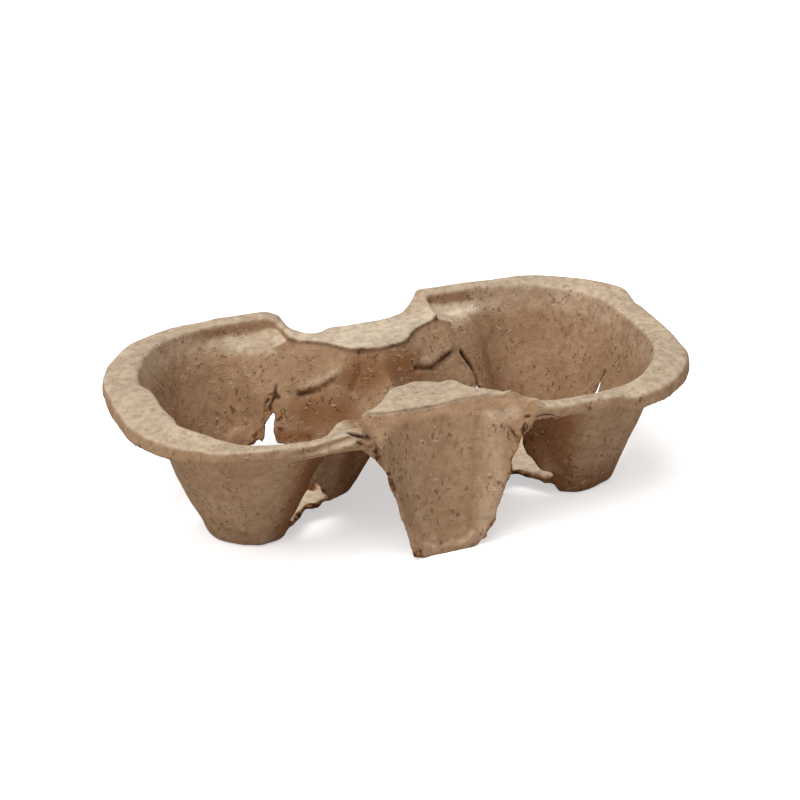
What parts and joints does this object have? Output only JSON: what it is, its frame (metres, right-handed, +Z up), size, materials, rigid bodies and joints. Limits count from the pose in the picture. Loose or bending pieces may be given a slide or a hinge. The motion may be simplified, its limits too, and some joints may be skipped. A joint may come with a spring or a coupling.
{
  "type": "cup carrier",
  "caption": "Moulded paper pulp cup carrier with wide tapered wells on short feet, a turned-down rim and a scooped finger flap on each long side.",
  "frame": {"origin": "middle of the carrier, on the surface that its feet stand on", "axes": "+X along the length from one well to the other, +Y across it, +Z up out of the wells"},
  "size_m": [0.196, 0.108, 0.0485],
  "materials": {
    "moulded_pulp": "matt fibrous moulded paper pulp with torn and trimmed edges"
  },
  "bodies": {
    "root": {"carrier_tray": "moulded_pulp"}
  },
  "joints": []
}
